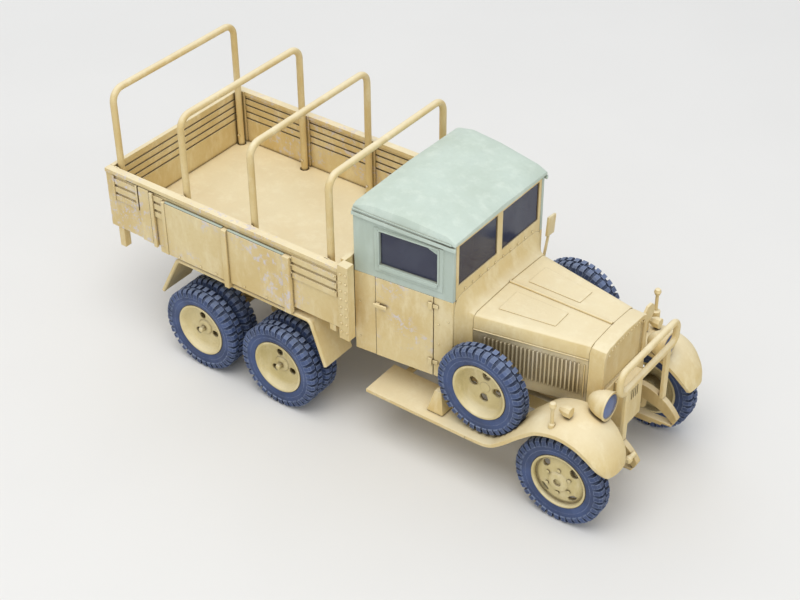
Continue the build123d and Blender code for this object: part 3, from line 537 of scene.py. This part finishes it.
SPARE_RINGS = [
    (-0.84, 0), (-0.84, 3.3), (-0.84, 3.54), (0.84, 3.54), (0.93, 3.48), (0.93, 3.28), (0.76, 3.14),
    (0.0, 2.98), (-0.36, 2.6), (-0.44, 2.2), (-0.44, 0.7), (-0.36, 0.6), (-0.36, 0),
]
NUT_RINGS = [(0, 0.24), (0.22, 0.24), (0.26, 0.15), (0.26, 0)]
NUT_COUNT, NUT_RADIUS, NUT_LEVEL = 6, 1.6, 0.7
DRILL_BACK, DRILL_FRONT, HOLE_FLATS = -1.9, 2.1, 20
# start is the first hole's angle in degrees, long is how much a hole is stretched round the wheel
HOLES = {
    "front": {"count": 4, "radius": 2.5, "size": 0.38, "start": 45, "long": 1.5},
    "dual": {"count": 3, "radius": 1.62, "size": 0.46, "start": 102, "long": 1.0},
    "spare": {"count": 4, "radius": 1.62, "size": 0.55, "start": 85, "long": 1.0},
}


def build_wheel(name, node, body, rings, places, kind):
    """One wheel piece: its turned form with its holes cut through."""
    shape, cutter = Shape(), Shape()
    hole = HOLES[kind]
    size = hole["size"]
    drill = [(DRILL_BACK, 0), (DRILL_BACK, size), (DRILL_FRONT, size), (DRILL_FRONT, 0)]
    for place in places:
        shape.lathe(rings, WHEEL_FLATS, place)
        count, radius = hole["count"], hole["radius"]
        ring_of(cutter, place, count, radius, drill, HOLE_FLATS, hole["start"], hole["long"])
    shape.piece(name, wheel_paint, "sand_paint", body, [node], cutter=cutter)


for side_name, side in SIDES:
    place = axle_place(AXLES["front"], FRONT_Y, AXLE_Z, side)
    shape = Shape()
    add_tyre(shape, place)
    body = f"wheel_front_{side_name}"
    shape.piece(f"front_{side_name}_tread", tyre, "tyre_black", body, [f"front_{side_name}_tyre"])
    build_wheel(
        f"front_{side_name}_rim", f"front_{side_name}_wheel", body, FRONT_RINGS, [place], "front",
    )
    nuts = Shape()
    nut_place = place @ Matrix.Translation((0, 0, NUT_LEVEL))
    ring_of(nuts, nut_place, NUT_COUNT, NUT_RADIUS, NUT_RINGS, 6)
    nuts.piece(f"front_{side_name}_nuts", wheel_paint, "sand_paint", body)
    for axle in ("middle", "rear"):
        body = f"wheels_{axle}_{side_name}"
        place = axle_place(AXLES[axle], DUAL_Y, AXLE_Z, side)
        shape = Shape()
        for way in (-0.5, 0.5):
            add_tyre(shape, place @ Matrix.Translation((0, 0, way * DUAL_PITCH)))
        pair = f"{axle}_{side_name}"
        shape.piece(f"{pair}_treads", tyre, "tyre_black", body, [f"{pair}_tyres"])
        build_wheel(f"{pair}_rims", f"{pair}_wheels", body, DUAL_RINGS, [place], "dual")

spare_places = [axle_place(*SPARE, side) for side in (1, -1)]
shape = Shape()
for place in spare_places:
    add_tyre(shape, place)
shape.piece("spare_treads", tyre, "tyre_black", TRUCK, ["spare_tyres"])
build_wheel("spare_rims", "spare_wheels", TRUCK, SPARE_RINGS, spare_places, "spare")


# Fenders with running boards, drawn through smooth rows
# x, z, lean, inner y, outer y, inner drop, outer drop

FENDER_ROWS = (
    (3.4, 7.2, 0, 6.5, 12.1, 0.02, 0.02),
    (16.2, 7.2, 0, 6.5, 12.1, 0.02, 0.02),
    (17.6, 7.2, 0, 6.5, 12.1, 0.02, 0.02),
    (20.2, 7.45, 20, 6.5, 12.1, 0.05, 0.1),
    (21.8, 8.75, 45, 6.4, 12.1, 0.1, 0.35),
    (23.8, 11.1, 50, 6.2, 12.1, 0.25, 0.7),
    (26.0, 13.2, 34, 5.9, 12.1, 0.4, 1.0),
    (29.0, 14.2, 7, 5.8, 12.1, 0.5, 1.15),
    (31.8, 13.85, -18, 5.9, 12.1, 0.5, 1.15),
    (33.8, 12.6, -42, 6.1, 12.0, 0.5, 1.05),
    (35.2, 10.7, -62, 6.6, 11.5, 0.4, 0.9),
    (35.6, 9.2, -72, 7.3, 10.6, 0.25, 0.5),
)
FENDER_WALL = 0.45
FENDER_STEPS = 6
ACROSS = 8
CROWN_POWER = 2.4


def smooth_rows(rows, steps):
    """Rows along a Catmull-Rom curve through the given rows."""
    result = []
    for i in range(len(rows) - 1):
        a, b, c, d = rows[max(i - 1, 0)], rows[i], rows[i + 1], rows[min(i + 2, len(rows) - 1)]
        for step in range(steps):
            t = step / steps
            values = []
            for p0, p1, p2, p3 in zip(a, b, c, d):
                bend = 2 * p0 - 5 * p1 + 4 * p2 - p3
                twist = 3 * p1 - p0 - 3 * p2 + p3
                values.append(p1 + 0.5 * t * (p2 - p0 + t * (bend + t * twist)))
            result.append(values)
    result.append(rows[-1])
    return result


def fender_loop(row, side):
    """The closed outline of one section: over the crown, then back under it."""
    x, z, lean, y_in, y_out, drop_in, drop_out = row
    middle, half = (y_in + y_out) / 2, (y_out - y_in) / 2
    along, up = math.sin(math.radians(lean)), math.cos(math.radians(lean))
    points = []
    for wall in (0, FENDER_WALL):
        arc = []
        for index in range(-ACROSS, ACROSS + 1):
            u = index / ACROSS
            depth = (drop_out if u > 0 else drop_in) * abs(u) ** CROWN_POWER + wall
            arc.append((x + along * depth, side * (middle + u * half), z - up * depth))
        points += arc if wall == 0 else arc[::-1]
    return points


for side_name, side in SIDES:
    shape = Shape()
    loops = []
    for row in smooth_rows(FENDER_ROWS, FENDER_STEPS):
        loops.append([shape.bm.verts.new(p) for p in fender_loop(row, side)])
    for low, high in zip(loops, loops[1:]):
        for i in range(len(low)):
            j = (i + 1) % len(low)
            shape.bm.faces.new((low[i], low[j], high[j], high[i]))
    shape.bm.faces.new(loops[0])
    shape.bm.faces.new(loops[-1])
    node_name = f"fender_{side_name}"
    shape.piece(f"swept_{node_name}", sand, "sand_paint", TRUCK, [node_name], bevel=0.12)


# Hoops, front guard and lamps


BEND_STEPS = 8


def bent_tube(name, routes, radius, bend, cyclic=False, nodes=()):
    """Round tubes along routes of corner points, with each corner a smooth bend."""
    curve = bpy.data.curves.new(name, "CURVE")
    curve.dimensions = "3D"
    curve.bevel_depth = radius * MM
    curve.bevel_resolution = 4
    curve.use_fill_caps = not cyclic
    for route in routes:
        route = [Vector(p) for p in route]
        points = []
        for index, corner in enumerate(route):
            if not cyclic and index in (0, len(route) - 1):
                points.append(corner)
                continue
            before = (route[index - 1] - corner).normalized() * bend
            after = (route[(index + 1) % len(route)] - corner).normalized() * bend
            for step in range(BEND_STEPS + 1):
                a = math.radians(90 * step / BEND_STEPS)
                points.append(corner + before * (1 - math.sin(a)) + after * (1 - math.cos(a)))
        spline = curve.splines.new("POLY")
        spline.points.add(len(points) - 1)
        for spot, point in zip(spline.points, points):
            spot.co = (*(point * MM), 1)
        spline.use_cyclic_u = cyclic
        spline.use_smooth = True
    curve.materials.append(sand)
    obj = bpy.data.objects.new(name, curve)
    bpy.context.collection.objects.link(obj)
    declare(obj, TRUCK, nodes)


HOOP_Y, HOOP_FOOT, HOOP_TOP = 10.9, 15.3, 33.6
HOOPS = (-35.15, -24.2, -13.5, -2.1)
hoop_routes = [
    [(x, -HOOP_Y, HOOP_FOOT), (x, -HOOP_Y, HOOP_TOP), (x, HOOP_Y, HOOP_TOP), (x, HOOP_Y, HOOP_FOOT)]
    for x in HOOPS
]
bent_tube("hoop_tubes", hoop_routes, 0.44, 1.6, nodes=["bed_hoops"])

BAR_X, BAR_HALF, BAR_TOP, BAR_BOTTOM, RAIL_Y = 33.3, 6.2, 19.6, 16.6, 4.5
guard_route = [
    (BAR_X, -BAR_HALF, BAR_TOP), (BAR_X, BAR_HALF, BAR_TOP),
    (BAR_X, BAR_HALF, BAR_BOTTOM), (BAR_X, -BAR_HALF, BAR_BOTTOM),
]
bent_tube("guard_tube", [guard_route], 0.4, 1.1, cyclic=True, nodes=["front_guard"])

# Posts from the frame up to the guard
POST_FOOT = 9.6
POST_SIZE = (0.5, 0.9, BAR_BOTTOM - POST_FOOT + 0.3)
posts = Shape()
for side in (1, -1):
    posts.box((BAR_X, side * RAIL_Y, (POST_FOOT + BAR_BOTTOM) / 2), POST_SIZE)
posts.piece("guard_posts", sand, "sand_paint", bevel=0.1)

# Beads along the mudguards' outer edges
MUDGUARD_EDGE = [(-28.4, 8.05), (-25.35, 13.9), (-4.35, 13.9), (-2.3, 8.05)]
BEAD_Y = 12.45
edge_routes = [[(x, side * BEAD_Y, z) for x, z in MUDGUARD_EDGE] for side in (1, -1)]
bent_tube("mudguard_beads", edge_routes, 0.27, 0.5)

# Marker poles on the fenders. The right one is lower, and the left one stands in a socket.
POLE_X, POLE_Y, POLE_FOOT = 28.1, 11.2, 13.3
LEFT_POLE, RIGHT_POLE, LEFT_SOCKET_Z = 5.3, 3.5, 14
LEFT_SOCKET_RINGS = [(0, 0), (0, 0.55), (1.4, 0.55), (1.6, 0)]
poles = Shape()
for side, height in ((1, LEFT_POLE), (-1, RIGHT_POLE)):
    rings = [
        (0, 0), (0, 0.42), (0.45, 0.36), (0.6, 0.2), (height - 1.0, 0.2), (height - 0.85, 0.32),
        (height - 0.5, 0.44), (height - 0.15, 0.32), (height, 0),
    ]
    poles.lathe(rings, 16, Matrix.Translation((POLE_X, side * POLE_Y, POLE_FOOT)))
poles.lathe(LEFT_SOCKET_RINGS, 12, Matrix.Translation((POLE_X, POLE_Y, LEFT_SOCKET_Z)))
poles.piece("pole_markers", sand, "sand_paint", TRUCK, ["marker_poles"])

# Headlamps. Rings are (distance forward, radius).
LAMP_X, LAMP_Y, LAMP_Z, LAMP_FLATS = 31.9, 6.5, 15.15, 48
SHELL_RINGS = [
    (-2.05, 0), (-2.02, 0.4), (-1.75, 0.82), (-1.2, 1.24), (-0.6, 1.5), (0, 1.64), (0.4, 1.68),
    (0.45, 1.74), (0.62, 1.74), (0.66, 1.62), (0.6, 1.48), (0.4, 1.3), (0.1, 0.8), (0.0, 0),
]
LENS_RINGS = [(0.5, 0), (0.5, 1.4), (0.56, 1.46), (0.7, 1.25), (0.82, 0.75), (0.86, 0)]
shells, lenses = Shape(), Shape()
for side in (1, -1):
    place = Matrix.Translation((LAMP_X, side * LAMP_Y, LAMP_Z)) @ FACE_FORWARD
    shells.lathe(SHELL_RINGS, LAMP_FLATS, place)
    lenses.lathe(LENS_RINGS, LAMP_FLATS, place)
shells.piece("headlamp_shells", sand, "sand_paint", TRUCK, ["headlamps"])
lenses.piece("headlamp_glass", lens, "lamp_lens", TRUCK, ["headlamp_lenses"])


# Small trim on the cab, hood and bed
# Corners are (x, half width)

CAB_REAR, CAB_FRONT = (0.75, 10.35), (13.5, 9.05)
HOOD_REAR, HOOD_FRONT = (15.1, 7.4), (28.5, 4.65)


def half_between(x, rear, front):
    """The half width at x of a side that runs straight from one (x, half width) to another."""
    share = (x - rear[0]) / (front[0] - rear[0])
    return rear[1] + share * (front[1] - rear[1])


def cab_half(x):
    return half_between(x, CAB_REAR, CAB_FRONT)


def hood_half(x):
    return half_between(x, HOOD_REAR, HOOD_FRONT)


def side_turn(half_at, side):
    """Turns a block's X along a tapered side."""
    slope = half_at(1) - half_at(0)
    return Matrix.Rotation(math.atan(side * slope), 3, "Z")


def on_side(half_at, x, z, side, out):
    """A point that far outside a tapered side."""
    return Vector((x, side * (half_at(x) + out), z))


def add_side_blocks(shape, table, half_at, side, turn):
    """Blocks along a tapered side, from rows of x, z, how far out, and the block's size."""
    for x, z, out, *size in table:
        shape.box(on_side(half_at, x, z, side, out), size, turn)


# x, z, how far out, length, depth, height
DOOR_BLOCKS = (
    (4.35, 18.55, 0.42, 1.7, 0.26, 0.42),
    (3.95, 18.55, 0.2, 0.5, 0.4, 0.5),
    (10.75, 21.0, 0.17, 0.5, 0.3, 0.95),
    (11.35, 21.0, 0.08, 0.7, 0.16, 0.5),
    (10.75, 13.1, 0.17, 0.5, 0.3, 0.95),
    (11.35, 13.1, 0.08, 0.7, 0.16, 0.5),
)
WINDOW_BLOCKS = (
    (4.1, 26.45, 0.16, 0.22, 0.16, 4.9),
    (11.7, 26.45, 0.16, 0.22, 0.16, 4.9),
    (7.9, 24.1, 0.16, 7.8, 0.16, 0.22),
    (7.9, 28.8, 0.16, 7.8, 0.16, 0.22),
)
WINDOW_CORNER = ((11.05, 28.45, -0.05, 1.3, 0.2, 0.5),)
ROOF_HEM = ((7.1, 30.3, 0.2, 12.6, 0.2, 0.2),)
HOOD_STRIPS = (
    (21.8, 18.45, 0.03, 13.6, 0.22, 0.16),
    (28.05, 15.4, 0.03, 0.14, 0.16, 4.6),
)
CORNER_LEAN, HEM_FALL = 22, 3.4
# x, z
CAB_STUDS = ((11.7, 15.8), (12.95, 19.4), (11.7, 18.6), (12.95, 14.5), (1.4, 13), (1.4, 18))
# x, bottom, top, how far it stands out, width
BED_BARS = (
    (-28.5, 14.8, 22.7, 0.42, 0.5),
    (-26.5, 14.6, 22.2, 0.5, 0.5),
    (-16.6, 13.9, 22.2, 0.72, 0.75),
    (-7.1, 14.3, 22.3, 0.72, 0.95),
)
# rear x, front x
PANEL_STRIPS = ((-26.2, -17.0), (-16.2, -7.6))
PANEL_STRIP_Z, PANEL_STRIP_Y = 22.22, 12.75
SLAT_FRAME_X = (-34.9, -31.0)
SLAT_STUD_X = (-34.9, -31.0, -6.6, -0.3)
SLAT_STUD_Z = (20.1, 21.2, 22.2)
SLAT_BAR_Z, SLAT_BAR_SIZE = 21.0, (0.3, 0.3, 3.6)
HEADER_STUD_X, HEADER_STUD_Y = (0.75, 1.5), 12.94
HEADER_STUDS, HEADER_STUD_FOOT, HEADER_STUD_STEP = 8, 15.0, 1.15
PANEL_STUD_X = (-24.5, -21, -18.5, -14, -10.5)
PANEL_STUD_Y, PANEL_STUD_Z = 12.97, 14.95
HOOP_POST_Y, HOOP_POST_Z, HOOP_POST_SIZE = 11.75, 19.6, (0.75, 0.3, 7.6)
HOOP_BOLT_Z, HOOP_BOLT_DEPTH = 17.2, 0.46
BED_Y = 12.55

doors, green_trim, hood_trim, bed_trim = Shape(), Shape(), Shape(), Shape()
for side in (1, -1):
    outward = (0, side, 0)
    # Door handle, hinges and rivets
    turn = side_turn(cab_half, side)
    add_side_blocks(doors, DOOR_BLOCKS, cab_half, side, turn)
    for x, z in CAB_STUDS:
        doors.stud(on_side(cab_half, x, z, side, 0), outward)
    # Window surround, its cut corner and the roof's second hem
    add_side_blocks(green_trim, WINDOW_BLOCKS, cab_half, side, turn)
    corner = turn @ Matrix.Rotation(math.radians(CORNER_LEAN), 3, "Y")
    add_side_blocks(green_trim, WINDOW_CORNER, cab_half, side, corner)
    hem = turn @ Matrix.Rotation(math.radians(HEM_FALL), 3, "Y")
    add_side_blocks(green_trim, ROOF_HEM, cab_half, side, hem)
    # Hood: side hinge strip and the seam at the radiator shell
    add_side_blocks(hood_trim, HOOD_STRIPS, hood_half, side, side_turn(hood_half, side))
    # Bed side: bars, strips over the panels, slat frame and rivets
    bed_y = side * BED_Y
    for x, z0, z1, out, wide in BED_BARS:
        bed_trim.box((x, bed_y + side * out / 2, (z0 + z1) / 2), (wide, out, z1 - z0))
    for x0, x1 in PANEL_STRIPS:
        centre = ((x0 + x1) / 2, side * PANEL_STRIP_Y, PANEL_STRIP_Z)
        green_trim.box(centre, (x1 - x0, 0.3, 0.16))
    for x in SLAT_FRAME_X:
        bed_trim.box((x, bed_y + side * 0.16, SLAT_BAR_Z), SLAT_BAR_SIZE)
    for x in SLAT_STUD_X:
        for z in SLAT_STUD_Z:
            bed_trim.stud((x, bed_y + side * 0.22, z), outward, 0.15)
    for row in range(HEADER_STUDS):
        for x in HEADER_STUD_X:
            z = HEADER_STUD_FOOT + row * HEADER_STUD_STEP
            bed_trim.stud((x, side * HEADER_STUD_Y, z), outward, 0.2)
    for x in PANEL_STUD_X:
        bed_trim.stud((x, side * PANEL_STUD_Y, PANEL_STUD_Z), outward, 0.16)
    # Posts inside the bed at the hoops, each with a bolt
    for x in HOOPS:
        bed_trim.box((x, side * HOOP_POST_Y, HOOP_POST_Z), HOOP_POST_SIZE)
        bolt = (x, side * (HOOP_Y - HOOP_BOLT_DEPTH), HOOP_BOLT_Z)
        bed_trim.stud(bolt, (0, -side, 0), 0.2)

doors.piece("door_fittings", sand, "sand_paint", bevel=0.05)
green_trim.piece("window_trim", window_green, "green_grey_paint", bevel=0.05)

# Hood top: centre hinge, raised panels, and rivets on the radiator shell and the scuttle
HOOD_TOP, HOOD_CROWN, HOOD_SHOULDER = 20.35, 0.25, 0.75
HINGE_HALF, HINGE_RADIUS, HINGE_X = 6.7, 0.2, 21.8
# x, y of a raised panel's corners, on the left half
RAISED_PANEL = ((16.8, 1.2), (23.6, 1.2), (23.6, 3.9), (16.8, 4.9))
PANEL_SUNK, PANEL_RAISED = 0.1, 0.09
SHELL_FRONT, SHELL_STUDS, SHELL_FIRST, SHELL_STEP = 30.4, 7, 0.3, 0.58
SHELL_STUD_Z, SHELL_FALL = 20.0, 0.03
SHELL_BEND_FROM, SHELL_BEND_REACH, SHELL_BEND_DROP = 2.6, 1.2, 0.5
SCUTTLE_FRONT, SCUTTLE_STUD_Z = 13.52, 23.0
SCUTTLE_STUDS, SCUTTLE_FIRST, SCUTTLE_STEP = 5, 0.8, 1.5
FACING_FRONT = (1, 0, 0)


def hood_top_at(y, x):
    """The height of the hood's low crown."""
    reach = hood_half(x) - HOOD_SHOULDER
    return HOOD_TOP + HOOD_CROWN * (1 - min(1, abs(y) / reach))


hinge = Matrix.Translation((HINGE_X, 0, HOOD_TOP + HOOD_CROWN)) @ FACE_FORWARD
hinge_rings = [(-HINGE_HALF, 0), (-HINGE_HALF, HINGE_RADIUS), (HINGE_HALF, HINGE_RADIUS), (HINGE_HALF, 0)]
hood_trim.lathe(hinge_rings, 12, hinge)
for side in (1, -1):
    corners = [(x, side * y, hood_top_at(y, x)) for x, y in RAISED_PANEL]
    bottom = [hood_trim.bm.verts.new((x, y, z - PANEL_SUNK)) for x, y, z in corners]
    top = [hood_trim.bm.verts.new((x, y, z + PANEL_RAISED)) for x, y, z in corners]
    hood_trim.bm.faces.new(top)
    for i in range(4):
        j = (i + 1) % 4
        hood_trim.bm.faces.new((bottom[i], bottom[j], top[j], top[i]))
    for index in range(SHELL_STUDS):
        y = SHELL_FIRST + index * SHELL_STEP
        drop = SHELL_BEND_DROP * max(0, (y - SHELL_BEND_FROM) / SHELL_BEND_REACH) ** 2
        z = SHELL_STUD_Z - SHELL_FALL * y - drop
        hood_trim.stud((SHELL_FRONT, side * y, z), FACING_FRONT, 0.15)
    for index in range(SCUTTLE_STUDS):
        y = side * (SCUTTLE_FIRST + index * SCUTTLE_STEP)
        hood_trim.stud((SCUTTLE_FRONT, y, SCUTTLE_STUD_Z), FACING_FRONT, 0.15)
hood_trim.piece("hood_fittings", sand, "sand_paint", bevel=0.06)
bed_trim.piece("bed_fittings", sand_side, "sand_paint", bevel=0.05)

# Cap on the right front horn
CAP_SPOT = (34.9, -4.5, 8.2)
cap = Shape()
cap_place = Matrix.Translation(CAP_SPOT) @ Matrix.Rotation(math.pi / 2, 4, "X")
CAP_RINGS = [(0, 0), (0, 0.3), (0.9, 0.3), (1.05, 0.45), (1.4, 0.45), (1.6, 0.25), (1.6, 0)]
cap.lathe(CAP_RINGS, 16, cap_place)
cap.piece("horn_cap", sand, "sand_paint")

# Left cab mirror on its leaning arm
ARM_SPOT, ARM_LEAN = (13.9, 9.5, 19.6), -16
ARM_RINGS = [(-1.6, 0), (-1.6, 0.17), (1.8, 0.17), (1.8, 0)]
MIRROR_SPOT, MIRROR_SIZE, MIRROR_LEAN = (13.95, 10.25, 22.3), (0.35, 1.6, 2.6), -6
mirror = Shape()
arm = Matrix.Translation(ARM_SPOT) @ Matrix.Rotation(math.radians(ARM_LEAN), 4, "X")
mirror.lathe(ARM_RINGS, 10, arm)
mirror.box(MIRROR_SPOT, MIRROR_SIZE, Matrix.Rotation(math.radians(MIRROR_LEAN), 3, "X"))
mirror.piece("cab_mirror", sand, "sand_paint", bevel=0.12)


# Floor, light and camera


def plain(name, color):
    """Pale paper with faint shading."""
    t = Tree(name)
    tone = t.mix(t.ramp(t.noise(30 * MM, 3), 0.3, 0.7, 0.0, 0.3), color, PAPER_SHADE)
    return t.done(tone, 0.9)


FLOOR_SIZE = 1.6
WORLD_COLOR, WORLD_LIGHT = (0.93, 0.95, 1.0, 1), 0.55
bpy.ops.mesh.primitive_plane_add(size=FLOOR_SIZE)
floor = bpy.context.object
floor.name = "studio_floor"
floor.data.materials.append(plain("floor_paper", PAPER))

world = bpy.data.worlds.new("studio_world")
world.use_nodes = True
sky = world.node_tree.nodes["Background"]
sky.inputs["Color"].default_value = WORLD_COLOR
sky.inputs["Strength"].default_value = WORLD_LIGHT
bpy.context.scene.world = world


def area(name, place, size, power, color):
    """A soft square lamp aimed at the model."""
    data = bpy.data.lights.new(name, "AREA")
    data.energy = power
    data.size = size
    data.color = color
    lamp = bpy.data.objects.new(name, data)
    bpy.context.collection.objects.link(lamp)
    lamp.location = place
    lamp.rotation_euler = (-Vector(place)).to_track_quat("-Z", "Y").to_euler()


area("key_light", (0.04, -0.13, 0.43), 0.34, 1.2, (1, 0.97, 0.92))
area("fill_light", (0.34, -0.20, 0.16), 0.40, 0.30, (0.93, 0.96, 1))
area("back_light", (-0.30, 0.26, 0.24), 0.40, 0.30, (0.95, 0.97, 1))

# The photo's camera: its right and up directions, and its place in millimetres
CAMERA_RIGHT = Vector((0.80146, 0.59798, -0.00887))
CAMERA_UP = Vector((-0.35122, 0.48263, 0.80232))
CAMERA_PLACE = Vector((93.78, -125.92, 128.03))
camera = bpy.data.objects.new("photo_camera", bpy.data.cameras.new("photo_camera"))
bpy.context.collection.objects.link(camera)
back = CAMERA_RIGHT.cross(CAMERA_UP)
turn = Matrix((CAMERA_RIGHT, CAMERA_UP, back)).transposed().to_4x4()
camera.matrix_world = Matrix.Translation(CAMERA_PLACE * MM) @ turn
camera.data.sensor_width = 36
camera.data.lens = 72.45
camera.data.shift_x = 0.0074
camera.data.shift_y = 0.0010
camera.data.clip_start = 0.005
bpy.context.scene.camera = camera
bpy.context.scene.view_settings.view_transform = "Standard"
